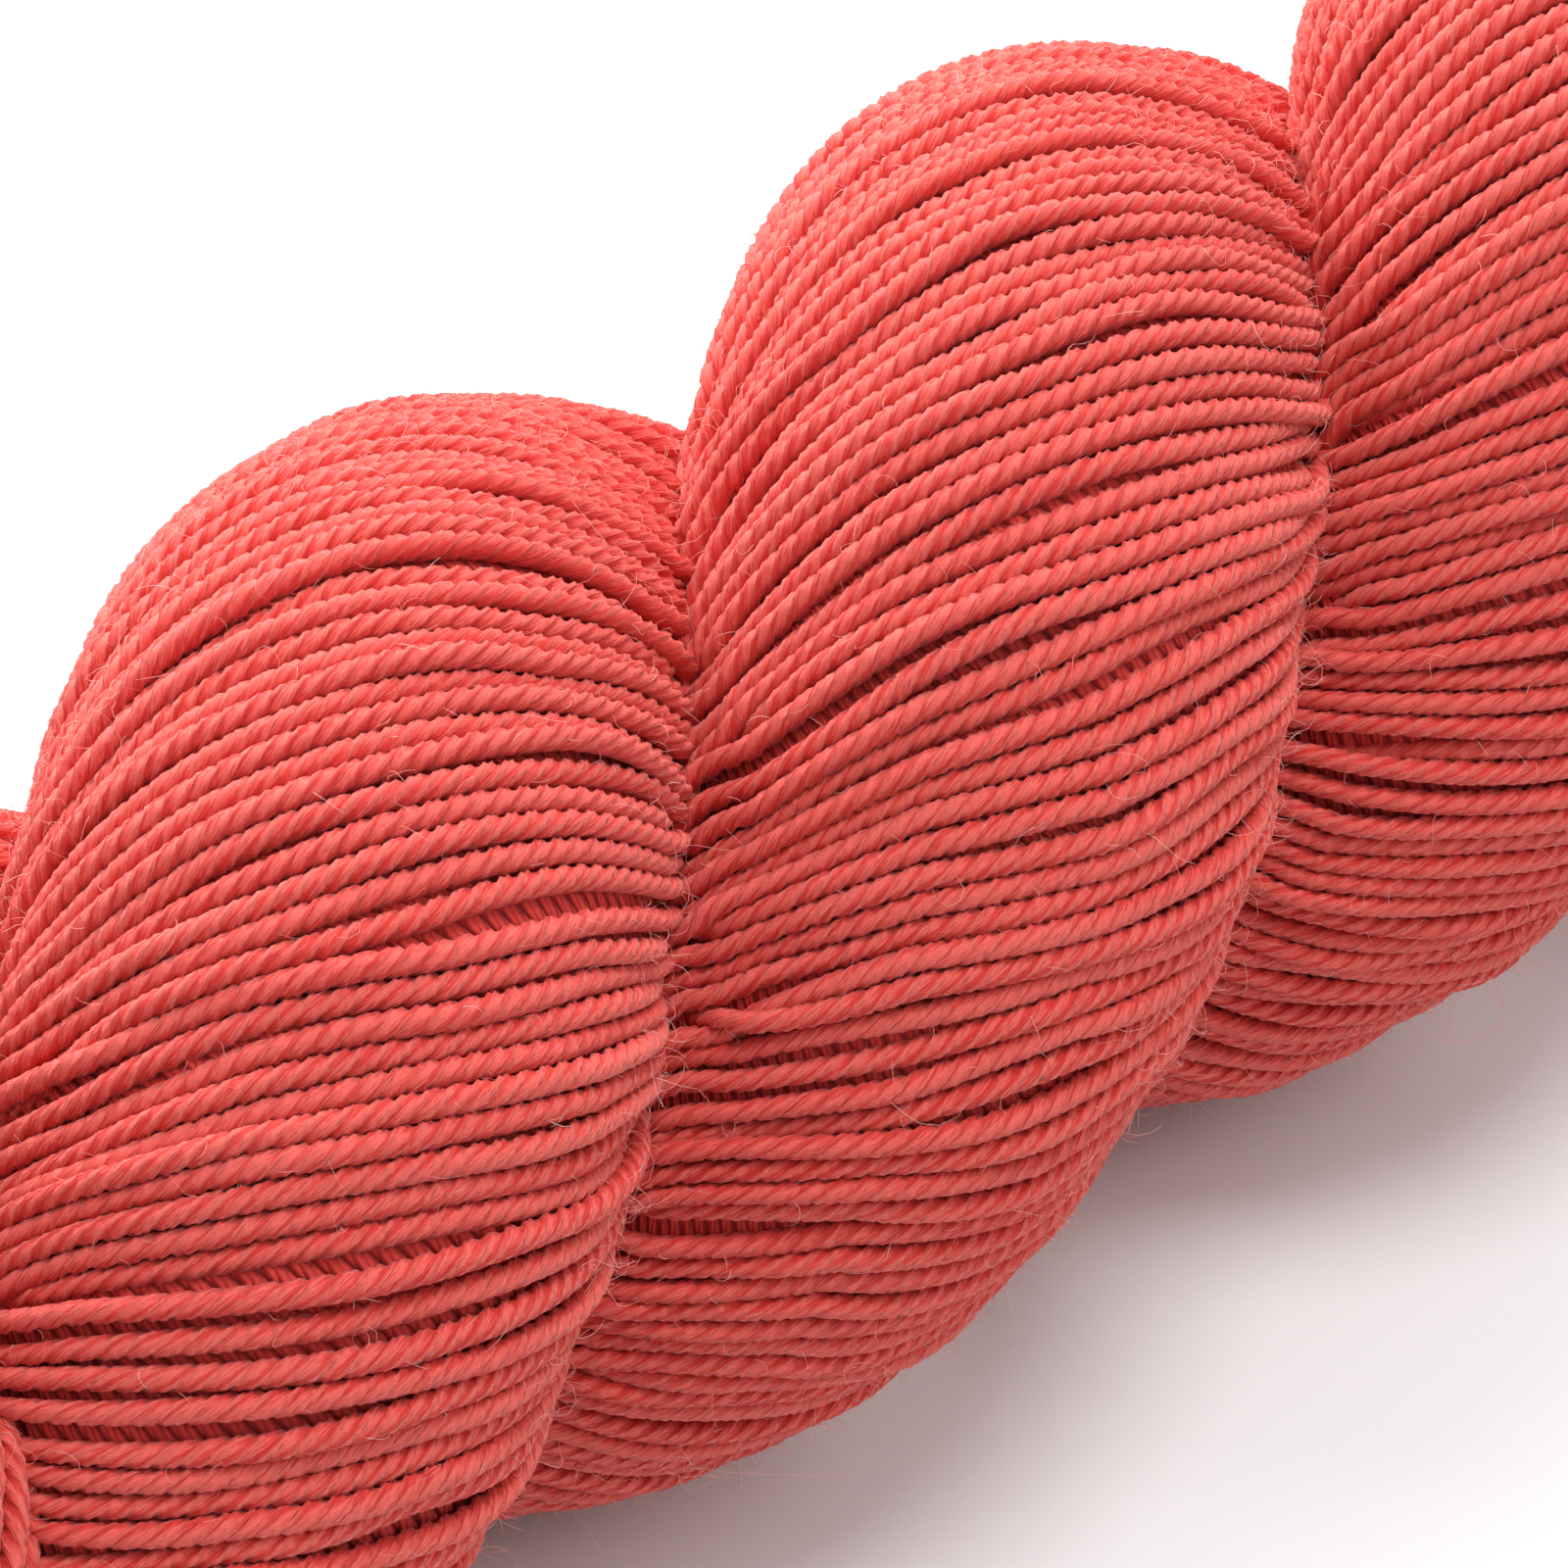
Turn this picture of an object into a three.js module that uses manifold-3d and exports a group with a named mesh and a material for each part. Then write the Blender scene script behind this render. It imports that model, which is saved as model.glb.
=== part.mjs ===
// A skein of fingering-weight alpaca yarn: one hank, twisted, folded in half and let twist back on itself
// into a rope of two plies, with one end loop passed through the other.
// Millimetres, +Z up. X runs along the rope, from the tucked end (-X) to the folded end (+X).
// The origin is the middle of the footprint on the surface that the skein lies on.
import * as THREE from "three";
import { ParametricGeometry } from "three/addons/geometries/ParametricGeometry.js";
import { mergeVertices } from "three/addons/utils/BufferGeometryUtils.js";
import Module from "manifold-3d";

// The rope: two plies, each a bundle of yarn, wound round a straight axis.
const LENGTH = 246; // tip of the tongue to tip of the fold
const PITCH = 90.8; // along the rope, for one turn of a ply
const PHASE_AT_MIDDLE = -1.88; // radians, where the first ply lies round the axis at x = 0
const PLY_OFFSET = 13; // rope axis to the middle of a ply
const PLY_OUT = 16.9; // middle of a ply to its outer face
const PLY_IN = 16; // middle of a ply to its inner face, pressed into the other ply past the rope's axis
const PLY_HALF_WIDTH = 17.2; // across the ply, along the surface of the rope
const SETTLED = 1.2; // how far the lowest lobes are pressed flat by the weight

// The folded end, where one ply turns round and comes back as the other.
const FOLD_REACH = PLY_OFFSET; // radius of the turn
const SWELL = 0.5; // how much fatter the turn and the collar are than what runs into them
const FOLD_EYE = 9; // radius of the yarn that fills the middle of the turn

// The tucked end: the second ply wraps round the neck as a collar, and the first ends as a loop, the tongue.
const COLLAR_MIDDLE = 31; // tip of the tongue to the middle of the collar
const COLLAR_BLEND = 22; // length over which the second ply leans over into the collar
const COLLAR_DRIFT = 0.09; // advance along the rope for each millimetre wound round the neck
const COLLAR_OFFSET = 15; // rope axis to the middle of the collar's section
const COLLAR_HALF = 9; // half the collar's thickness and width
const COLLAR_TURN = 5.3; // radians wound round the neck
const NECK_HALF = 11.5; // half the thickness of the first ply inside the collar
const NECK_EYE = 11; // half the thickness of the yarn that fills the collar behind the neck
const TONGUE_REACH = 8; // radius of its turn, and middle of the tongue to the middle of each leg
const TONGUE_HALF = 8.6; // half the thickness of a leg
const TONGUE_EYE = 5.5; // half the thickness of the yarn between the legs
const TONGUE_EYE_STRETCH = 2.6; // how much longer than wide that yarn is
const TONGUE_ANGLE = 0.5; // radians, how the loop is turned about the rope's axis
const TONGUE_TWIST = -0.03; // radians of turn for each millimetre along the tongue

// Faceting, and the buried ends.
const FIRST_PLY_STEPS = 66;
const SECOND_PLY_STEPS = 59; // not the first's, so that few corners of the two fall close together
const PLY_SIDES = 28;
const FOLD_STEPS = 26;
const COLLAR_STEPS = 32;
const TONGUE_STEPS = 26;
const END_SIDES = 18;
const NOSE = 5; // length over which a bundle's buried end closes
const BURIED = 6; // how far one bundle runs on inside the next
const SLIT = 0.3; // what is left between a turn's legs and its middle, and filled by its eye

const TURN_RATE = (-2 * Math.PI) / PITCH; // radians for each millimetre, a left-handed helix
const AXIS_HEIGHT = PLY_OFFSET + PLY_OUT - SETTLED;
const FOLD_START = LENGTH / 2 - PLY_OUT - SWELL - FOLD_REACH;
const COLLAR_X = COLLAR_MIDDLE - LENGTH / 2;
const COLLAR_START = COLLAR_X + COLLAR_BLEND * 0.55; // where the second ply begins to lean over
const TONGUE_START = TONGUE_HALF + TONGUE_REACH - LENGTH / 2;
const YARN = new THREE.Color(0.78, 0.2, 0.17);

// Direction away from the rope's axis at an angle about it, measured from +Y towards +Z.
function away(angle) {
  return new THREE.Vector3(0, Math.cos(angle), Math.sin(angle));
}

// 0 to 1 with level ends.
function ease(t) {
  const s = Math.min(Math.max(t, 0), 1);
  return s * s * (3 - 2 * s);
}

// What ease adds up to from 0 to t.
function easeSum(t) {
  const s = Math.min(Math.max(t, 0), 1);
  return s ** 3 - s ** 4 / 2 + Math.max(t - 1, 0);
}

// A turn of a bundle back on itself, at a distance along it from its tip: positive towards one leg and
// negative towards the other. towards is 1 for a turn whose tip faces +X and -1 for one that faces -X.
function hairpin({ start, reach, angleAt, towards }) {
  return (distance) => {
    const lean = THREE.MathUtils.clamp(distance / reach, -Math.PI / 2, Math.PI / 2);
    const straight = Math.abs(distance) - Math.abs(lean) * reach;
    const x = start + towards * (reach * Math.cos(lean) - straight);
    const outward = away(angleAt(x)).multiplyScalar(Math.sin(lean));
    return {
      centre: outward.clone().multiplyScalar(reach).setX(x),
      outward: outward.setX(towards * Math.cos(lean)),
    };
  };
}

// How far both plies are on their way from the rope to the tucked end.
function tuckShare(x) {
  return ease((COLLAR_START - x) / COLLAR_BLEND);
}

// The first ply closes on the rope's axis towards the tucked end, and becomes the neck.
function firstPly(x) {
  const outward = away(PHASE_AT_MIDDLE + TURN_RATE * x);
  const offset = PLY_OFFSET * (1 - tuckShare(x));
  return { centre: outward.clone().multiplyScalar(offset).setX(x), outward };
}

// The second ply leans over at the tucked end and winds round the neck. Its place is x in the rope, and
// then the length wound, in millimetres below the start of the collar.
function secondPly(place) {
  const gone = (COLLAR_START - place) / COLLAR_BLEND;
  const x = COLLAR_START - COLLAR_BLEND * (gone - (1 - COLLAR_DRIFT) * easeSum(gone));
  const outward = away(PHASE_AT_MIDDLE + Math.PI + TURN_RATE * place);
  const offset = THREE.MathUtils.lerp(PLY_OFFSET, COLLAR_OFFSET, tuckShare(place));
  return { centre: outward.clone().multiplyScalar(offset).setX(x), outward };
}

// The surface of a bundle: a section with a rounder outer half than inner half, carried along a path.
// half gives the section's reach outwards, inwards and across at a place on the path.
function bundle({ path, from, to, half, steps, sides }) {
  const step = (to - from) / 1000;
  const nose = NOSE / Math.abs(to - from);
  const surface = (u, v, target) => {
    const place = from + (to - from) * u;
    const { centre, outward } = path(place);
    const along = path(place + step).centre.sub(path(place - step).centre).normalize();
    const out = outward.clone().addScaledVector(along, -outward.dot(along)).normalize();
    const across = along.clone().cross(out);
    const end = Math.min(1, Math.min(u, 1 - u) / nose);
    const closed = Math.sqrt(Math.max(0, 1 - (1 - end) ** 2));
    const { outer, inner, wide } = half(place);
    const turn = -2 * Math.PI * v;
    const lift = Math.cos(turn) > 0 ? outer : inner;
    target
      .copy(centre)
      .addScaledVector(out, closed * lift * Math.cos(turn))
      .addScaledVector(across, closed * wide * Math.sin(turn));
  };
  return new ParametricGeometry(surface, steps, sides);
}

const plyHalf = { outer: PLY_OUT, inner: PLY_IN, wide: PLY_HALF_WIDTH };

// A section partly on its way to a round one.
function rounded(half, round, share) {
  const blend = (size) => THREE.MathUtils.lerp(size, round, share);
  return { outer: blend(half.outer), inner: blend(half.inner), wide: blend(half.wide) };
}

function collarHalf(place, swell) {
  const { outer, inner, wide } = rounded(plyHalf, COLLAR_HALF, tuckShare(place));
  return { outer: outer + swell, inner: inner + swell, wide: wide + swell };
}

const firstPlyShape = {
  path: firstPly,
  from: COLLAR_X - BURIED,
  to: FOLD_START + BURIED,
  half: (x) => rounded(plyHalf, NECK_HALF, tuckShare(x)),
  steps: FIRST_PLY_STEPS,
  sides: PLY_SIDES,
};

const secondPlyShape = {
  path: secondPly,
  from: COLLAR_START - COLLAR_BLEND * 0.8,
  to: FOLD_START + BURIED,
  half: (place) => collarHalf(place, 0),
  steps: SECOND_PLY_STEPS,
  sides: PLY_SIDES,
};

const collarShape = {
  path: secondPly,
  from: COLLAR_START - COLLAR_BLEND * 0.4,
  to: COLLAR_START - COLLAR_BLEND + COLLAR_TURN / TURN_RATE,
  half: (place) => collarHalf(place, SWELL),
  steps: COLLAR_STEPS,
  sides: END_SIDES,
};

const foldTurn = { start: FOLD_START, reach: FOLD_REACH, towards: 1 };
const foldLeg = (FOLD_REACH * Math.PI) / 2 + BURIED;
const foldShape = {
  path: hairpin({ ...foldTurn, angleAt: (x) => PHASE_AT_MIDDLE + TURN_RATE * x }),
  from: foldLeg,
  to: -foldLeg,
  half: () => ({ outer: PLY_OUT + SWELL, inner: FOLD_REACH - SLIT, wide: PLY_HALF_WIDTH + SWELL }),
  steps: FOLD_STEPS,
  sides: PLY_SIDES,
};

const tongueTurn = { start: TONGUE_START, reach: TONGUE_REACH, towards: -1 };
const tongueLeg = (TONGUE_REACH * Math.PI) / 2 + COLLAR_X - TONGUE_START;
const tongueShape = {
  path: hairpin({ ...tongueTurn, angleAt: (x) => TONGUE_ANGLE + TONGUE_TWIST * (x - TONGUE_START) }),
  from: tongueLeg,
  to: -tongueLeg,
  half: () => ({ outer: TONGUE_HALF, inner: TONGUE_REACH - SLIT, wide: TONGUE_HALF }),
  steps: TONGUE_STEPS,
  sides: END_SIDES,
};

// The yarn that fills the middle of a turn, on the rope's axis.
function eye({ start, radius, stretch = 1 }) {
  const ball = new THREE.SphereGeometry(radius, END_SIDES, END_SIDES / 2);
  ball.scale(stretch, 1, 1);
  ball.translate(start, 0, 0);
  return ball;
}

const wasm = await Module();
wasm.setup();

// A closed solid from a three.js geometry: shared vertices merged, faces without area dropped.
function solid(geometry) {
  geometry.deleteAttribute("normal");
  geometry.deleteAttribute("uv");
  const merged = mergeVertices(geometry, 1e-4);
  const corners = [];
  for (let i = 0; i < merged.index.count; i += 3) {
    const [a, b, c] = merged.index.array.slice(i, i + 3);
    if (a !== b && b !== c && c !== a) corners.push(a, b, c);
  }
  const mesh = new wasm.Mesh({
    numProp: 3,
    vertProperties: merged.attributes.position.array,
    triVerts: new Uint32Array(corners),
  });
  return new wasm.Manifold(mesh);
}

// The surface that the skein lies on, as a block that presses its lowest lobes flat.
function restingSurface() {
  const side = 2 * LENGTH;
  const block = new THREE.BoxGeometry(side, side, side);
  block.translate(0, 0, -side / 2 - AXIS_HEIGHT);
  return block;
}

function hankGeometry() {
  const bundles = [firstPlyShape, secondPlyShape, foldShape, collarShape, tongueShape].map(bundle);
  const eyes = [
    eye({ start: FOLD_START, radius: FOLD_EYE }),
    eye({ start: COLLAR_START, radius: NECK_EYE }),
    eye({ start: TONGUE_START, radius: TONGUE_EYE, stretch: TONGUE_EYE_STRETCH }),
  ];
  const wound = [...bundles, ...eyes].map(solid).reduce((joined, next) => joined.add(next));
  const settled = wound.subtract(solid(restingSurface())).getMesh();
  const geometry = new THREE.BufferGeometry();
  geometry.setAttribute("position", new THREE.BufferAttribute(settled.vertProperties, 3));
  geometry.setIndex(new THREE.BufferAttribute(settled.triVerts, 1));
  geometry.computeVertexNormals();
  return geometry;
}

function hank() {
  const yarn = new THREE.MeshStandardMaterial({ color: YARN, roughness: 0.9, metalness: 0 });
  const mesh = new THREE.Mesh(hankGeometry(), yarn);
  mesh.name = "hank";
  mesh.position.z = AXIS_HEIGHT;
  return mesh;
}

const skein = new THREE.Group();
skein.name = "skein";
skein.add(hank());

export default skein;
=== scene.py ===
import math

import bpy
import numpy as np
from mathutils import Matrix, Vector


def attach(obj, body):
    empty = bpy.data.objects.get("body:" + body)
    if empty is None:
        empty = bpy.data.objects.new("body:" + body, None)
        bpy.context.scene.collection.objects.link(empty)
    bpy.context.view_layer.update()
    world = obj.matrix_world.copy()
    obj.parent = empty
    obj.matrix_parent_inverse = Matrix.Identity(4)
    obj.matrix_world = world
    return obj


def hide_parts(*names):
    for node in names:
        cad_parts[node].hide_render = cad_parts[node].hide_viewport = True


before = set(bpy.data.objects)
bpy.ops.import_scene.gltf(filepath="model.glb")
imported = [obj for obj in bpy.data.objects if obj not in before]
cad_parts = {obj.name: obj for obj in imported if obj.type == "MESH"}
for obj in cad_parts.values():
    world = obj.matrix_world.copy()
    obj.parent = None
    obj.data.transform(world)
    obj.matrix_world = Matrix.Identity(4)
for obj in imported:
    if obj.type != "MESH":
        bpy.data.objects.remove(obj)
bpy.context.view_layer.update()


# The camera stands close over the skein's left half, so that three lobes of the rope fill the picture. It
# looks at a point inside the rope. It comes first because it says which turns of yarn need the most detail.
CAMERA_TARGET = Vector((-0.018, 0.0029, 0.0251))
CAMERA_AZIMUTH = math.radians(-40.85)
CAMERA_ELEVATION = math.radians(44.3)
CAMERA_ROLL = math.radians(-0.57)
CAMERA_DISTANCE = 0.4345
CAMERA_LENS_MM = 180.9
CAMERA_SENSOR_MM = 36.0

camera_back = Vector((
    math.sin(CAMERA_AZIMUTH) * math.cos(CAMERA_ELEVATION),
    -math.cos(CAMERA_AZIMUTH) * math.cos(CAMERA_ELEVATION),
    math.sin(CAMERA_ELEVATION),
))
camera_data = bpy.data.cameras.new("photo_view")
camera_data.lens = CAMERA_LENS_MM
camera_data.sensor_width = CAMERA_SENSOR_MM
camera_data.clip_start = 0.01
camera = bpy.data.objects.new("photo_view", camera_data)
bpy.context.collection.objects.link(camera)
camera_turn = camera_back.to_track_quat("Z", "Y").to_matrix() @ Matrix.Rotation(CAMERA_ROLL, 3, "Z")
camera.matrix_world = Matrix.Translation(CAMERA_TARGET + camera_back * CAMERA_DISTANCE) @ camera_turn.to_4x4()
bpy.context.scene.camera = camera
camera_place = np.array(camera.matrix_world.translation)


# The inner layers: all the yarn below the outermost turns, seen as a dark red line here and there. The hank
# is a ring of alpaca yarn, twisted, folded in half and let twist back into a rope of two plies. Its second
# ply ends as a collar round the neck of the first, and the ring's end loop is a tongue through the collar.
LENGTH = 0.246  # of the whole skein, in metres, as are the other sizes
PITCH = 0.0908
PHASE_AT_MIDDLE = -1.88
PLY_OFFSET = 0.013
PLY_HALF = np.array((0.0169, 0.016, 0.0172))  # outwards, inwards and across
SETTLED = 0.0012
FOLD_REACH = PLY_OFFSET
SWELL = 0.0005
FOLD_INWARD = 0.78  # of a ply's inner half, where the fold leaves it less room
COLLAR_MIDDLE = 0.031
COLLAR_BLEND = 0.022
COLLAR_DRIFT = 0.09
COLLAR_OFFSET = 0.015
COLLAR_HALF = 0.009
COLLAR_TURN = 5.3
TUCK = 0.017  # the collar's last stretch, which narrows and goes in under the neck
TUCK_OFFSET = 0.006
TUCK_HALF = 0.0045
NECK_HALF = 0.0115
TONGUE_REACH = 0.008
TONGUE_HALF = 0.0086
TONGUE_ANGLE = 0.5
TONGUE_TWIST = -30.0
BURIED = 0.006

TURN_RATE = -2 * math.pi / PITCH
AXIS_HEIGHT = PLY_OFFSET + PLY_HALF[0] - SETTLED
FOLD_START = LENGTH / 2 - PLY_HALF[0] - SWELL - FOLD_REACH
COLLAR_X = COLLAR_MIDDLE - LENGTH / 2
COLLAR_START = COLLAR_X + COLLAR_BLEND * 0.55
TONGUE_START = TONGUE_HALF + TONGUE_REACH - LENGTH / 2
ROUTE_STEP = 0.0005

# How fast the turns wind round a bundle, in radians per metre along it.
FIRST_WRAP = 110.0
FIRST_WRAP_PHOTOGRAPHED = 152.0
FOLD_WRAP = 108.0
SECOND_WRAP = 99.0
TONGUE_WRAP = 150.0
WRAP_SWING = 112.0  # how much faster the turns cross the outer side of a ply than its inner side
LEAST_WRAP = 38.0
PLY_STRETCH = math.hypot(1, TURN_RATE * PLY_OFFSET)


def away(angle):
    return np.stack([0 * angle, np.cos(angle), np.sin(angle)], -1)


def ease(t):
    s = np.clip(t, 0, 1)
    return s * s * (3 - 2 * s)


def ease_sum(t):
    s = np.clip(t, 0, 1)
    return s**3 - s**4 / 2 + np.maximum(t - 1, 0)


def unit(v):
    return v / np.maximum(np.linalg.norm(v, axis=-1, keepdims=True), 1e-12)


def rounded(round_half, share):
    return PLY_HALF + (round_half - PLY_HALF) * share[:, None]


def route(centre, outward, half, wrap):
    """A bundle's middle line, with its own directions, half sizes and wrap rate at each place along it."""
    along = unit(np.gradient(centre, axis=0))
    out = unit(outward - along * (outward * along).sum(-1, keepdims=True))
    across = np.cross(along, out)
    steps = np.linalg.norm(np.diff(centre, axis=0), axis=-1)
    place = np.concatenate([[0], np.cumsum(steps)])
    table = np.column_stack([centre, out, across, half, wrap])
    return {"place": place, "table": table, "length": place[-1]}


def surface(bundle, place, theta, depth=0.0):
    """Points on a bundle, and the directions out of it. theta is 0 on the side away from the rope's axis."""
    read = [np.interp(place, bundle["place"], column) for column in bundle["table"].T]
    read = np.stack(read, -1)
    centre, out, across = read[..., 0:3], unit(read[..., 3:6]), unit(read[..., 6:9])
    cos, sin = np.cos(theta)[..., None], np.sin(theta)[..., None]
    lift = np.where(cos > 0, read[..., 9:10], read[..., 10:11])
    wide = read[..., 11:12]
    normal = unit(out * cos / lift + across * sin / wide)
    point = centre + out * cos * lift + across * sin * wide
    return point - normal * np.asarray(depth)[..., None], normal


def turn_of_bundle(start, reach, angle, twist, towards, leg):
    """A bundle's turn back on itself, and a straight leg on both sides of it."""
    distance = np.arange(leg, -leg, -ROUTE_STEP)
    lean = np.clip(distance / reach, -math.pi / 2, math.pi / 2)
    straight = np.abs(distance) - np.abs(lean) * reach
    x = start + towards * (reach * np.cos(lean) - straight)
    outward = away(angle + twist * x) * np.sin(lean)[:, None]
    centre = outward * reach
    centre[:, 0] = x
    outward[:, 0] = towards * np.cos(lean)
    return centre, outward


def hank_route():
    """Neck, first ply, fold, second ply and collar, as the one bundle that they are."""
    x = np.arange(COLLAR_X - BURIED, FOLD_START, ROUTE_STEP)
    share = ease((COLLAR_START - x) / COLLAR_BLEND)
    first_out = away(PHASE_AT_MIDDLE + TURN_RATE * x)
    first = first_out * (PLY_OFFSET * (1 - share))[:, None]
    first[:, 0] = x
    first_half = rounded(NECK_HALF, share)
    right_half = ease((x + 0.015) / 0.04)
    first_wrap = FIRST_WRAP_PHOTOGRAPHED + (FIRST_WRAP - FIRST_WRAP_PHOTOGRAPHED) * right_half

    leg = FOLD_REACH * math.pi / 2
    fold, fold_out = turn_of_bundle(FOLD_START, FOLD_REACH, PHASE_AT_MIDDLE, TURN_RATE, 1, leg)
    fold_half = np.tile(PLY_HALF * (1, FOLD_INWARD, 1), (len(fold), 1))
    fold_wrap = np.full(len(fold), FOLD_WRAP)

    x = np.arange(FOLD_START, COLLAR_START - COLLAR_BLEND + COLLAR_TURN / TURN_RATE, -ROUTE_STEP)
    gone = (COLLAR_START - x) / COLLAR_BLEND
    share = ease(gone)
    second_out = away(PHASE_AT_MIDDLE + math.pi + TURN_RATE * x)
    tucked = ease((TUCK - (x - x[-1])) / TUCK)
    offset = PLY_OFFSET + (COLLAR_OFFSET - PLY_OFFSET) * share
    second = second_out * (offset + (TUCK_OFFSET - offset) * tucked)[:, None]
    second[:, 0] = COLLAR_START - COLLAR_BLEND * (gone - (1 - COLLAR_DRIFT) * ease_sum(gone))
    second_half = rounded(COLLAR_HALF, share) + (TUCK_HALF - COLLAR_HALF) * tucked[:, None]
    second_wrap = np.full(len(x), SECOND_WRAP)

    centre = np.concatenate([first, fold[1:], second[1:]])
    outward = np.concatenate([first_out, fold_out[1:], second_out[1:]])
    half = np.concatenate([first_half, fold_half[1:], second_half[1:]])
    wrap = np.concatenate([first_wrap, fold_wrap[1:], second_wrap[1:]])
    made = route(centre + (0, 0, AXIS_HEIGHT), outward, half, wrap)
    made["ends"] = (len(first), len(first) + len(fold) // 2, len(first) + len(fold))
    low, high = made["place"][[made["ends"][0], made["ends"][2]]]
    collar = len(first) + len(fold) - 2 + np.argmin(np.abs(second[:, 0] - COLLAR_START))
    made["collar"] = made["place"][collar]
    # the stretches where the two plies lie together along the whole rope
    made["rope"] = [(0.045, low - 0.012), (high + 0.012, made["collar"] - 0.02)]
    return made


def tongue_route():
    leg = TONGUE_REACH * math.pi / 2 + COLLAR_X - TONGUE_START
    angle = TONGUE_ANGLE - TONGUE_TWIST * TONGUE_START
    centre, outward = turn_of_bundle(TONGUE_START, TONGUE_REACH, angle, TONGUE_TWIST, -1, leg)
    half = np.tile((TONGUE_HALF, TONGUE_REACH * 0.97, TONGUE_HALF), (len(centre), 1))
    made = route(centre + (0, 0, AXIS_HEIGHT), outward, half, np.full(len(centre), TONGUE_WRAP))
    made["rope"] = []
    return made


hank = hank_route()
tongue = tongue_route()

YARN_WIDTH = 0.00168
PACKED = 0.97  # of a yarn's width, from one turn to the next where all lie on the surface
SAMPLES = 99


def wrap_at(bundle, place, theta):
    mean = np.interp(place, bundle["place"], bundle["table"][:, 12])
    return np.maximum(mean + WRAP_SWING * np.cos(theta), LEAST_WRAP) / PLY_STRETCH


def turns_of(bundle):
    """Places and angles of all of a bundle's turns, one row each, evenly apart where they lie outermost."""
    place = bundle["place"]
    zero = np.zeros(len(place))
    line, _ = surface(bundle, place, zero)
    ahead, _ = surface(bundle, place, zero + 0.01)
    step = np.gradient(line, place, axis=0)
    course = step + (ahead - line) / 0.01 * wrap_at(bundle, place, zero)[:, None]
    apart = np.linalg.norm(np.cross(step, unit(course)), axis=-1)
    widths = np.cumsum((apart[1:] + apart[:-1]) / 2 * np.diff(place)) / (PACKED * YARN_WIDTH)
    count = np.concatenate([[0], widths])
    start = np.interp(np.arange(0.5, count[-1]), count, place)
    theta = np.linspace(-math.pi, math.pi, SAMPLES)
    rows = np.zeros((len(start), SAMPLES))
    middle = SAMPLES // 2
    rows[:, middle] = start
    for way in (1, -1):
        at = start.copy()
        for m in range(1, middle + 1):
            old, new = theta[middle + way * (m - 1)], theta[middle + way * m]
            half = at + (new - old) / 2 / wrap_at(bundle, at, old)
            at = at + (new - old) / wrap_at(bundle, half, (old + new) / 2)
            rows[:, middle + way * m] = at
    return rows, np.tile(theta, (len(start), 1))


def joined_tubes(name, tubes):
    """One mesh of many closed tubes, from the rings of points of each and their places on the UV map."""
    verts, corners, starts, uvs = [], [], [], []
    vertex_count = corner_count = 0
    for ring, uv in tubes:
        rings, sides = ring.shape[:2]
        i, j = np.meshgrid(np.arange(rings - 1), np.arange(sides), indexing="ij")
        k = (j + 1) % sides
        quads = np.stack([i * sides + j, (i + 1) * sides + j, (i + 1) * sides + k, i * sides + k], -1)
        quad_uv = np.stack([uv[i, j], uv[i + 1, j], uv[i + 1, j + 1], uv[i, j + 1]], 2)
        j = np.arange(sides)
        k = (j + 1) % sides
        low, high = j * 0 + rings * sides, j * 0 + rings * sides + 1
        top = (rings - 1) * sides
        fans = np.concatenate([np.stack([low, j, k], -1), np.stack([high, top + k, top + j], -1)])
        low_uv = np.stack([uv[0, j], uv[0, j], uv[0, j + 1]], 1)
        high_uv = np.stack([uv[-1, j], uv[-1, j + 1], uv[-1, j]], 1)
        own = len(quads.reshape(-1, 4)) * 4 + np.arange(2 * sides) * 3
        verts.append(np.concatenate([ring.reshape(-1, 3), ring[[0, -1]].mean(1)]))
        corners.append(np.concatenate([quads.ravel(), fans.ravel()]) + vertex_count)
        starts.append(np.concatenate([np.arange(quads.size // 4) * 4, own]) + corner_count)
        uvs.append(np.concatenate([part.reshape(-1, 2) for part in (quad_uv, low_uv, high_uv)]))
        vertex_count += len(verts[-1])
        corner_count += len(corners[-1])
    mesh = bpy.data.meshes.new(name)
    mesh.vertices.add(vertex_count)
    mesh.vertices.foreach_set("co", np.concatenate(verts).astype(np.float32).ravel())
    mesh.loops.add(corner_count)
    mesh.loops.foreach_set("vertex_index", np.concatenate(corners).astype(np.int32))
    starts = np.concatenate(starts).astype(np.int32)
    mesh.polygons.add(len(starts))
    mesh.polygons.foreach_set("loop_start", starts)
    mesh.uv_layers.new(name="turns").data.foreach_set("uv", np.concatenate(uvs).astype(np.float32).ravel())
    mesh.polygons.foreach_set("use_smooth", np.ones(len(starts), bool))
    mesh.update(calc_edges=True)
    return mesh


INNER_DEPTH = YARN_WIDTH * 0.78  # how far the inner layers lie below the skein's outline
NOSE = 0.005  # length of a bundle's rounded end
LOWEST_LAYER = 0.0006
PLY_RIDGES = 740.0  # per metre, across a turn of the inner layers
MEAN_RADIUS = 0.0168


def tube_points(bundle, low, high, depth, steps, sides):
    place = np.linspace(low, high, steps + 1)[:, None] + np.zeros(sides)
    theta = np.linspace(0, 2 * math.pi, sides, endpoint=False)[None] + np.zeros((steps + 1, 1))
    point, _ = surface(bundle, place, theta, np.full(place.shape, depth))
    end = np.clip(np.minimum(place - low, high - place) / NOSE, 0.02, 1)
    closed = np.sqrt(1 - (1 - end) ** 2)[..., None]
    middle = point.mean(1, keepdims=True)
    ring = middle + (point - middle) * closed
    return ring[:, ::-1], np.stack([place, theta], -1)[:, list(range(sides)) + [0]]


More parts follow.
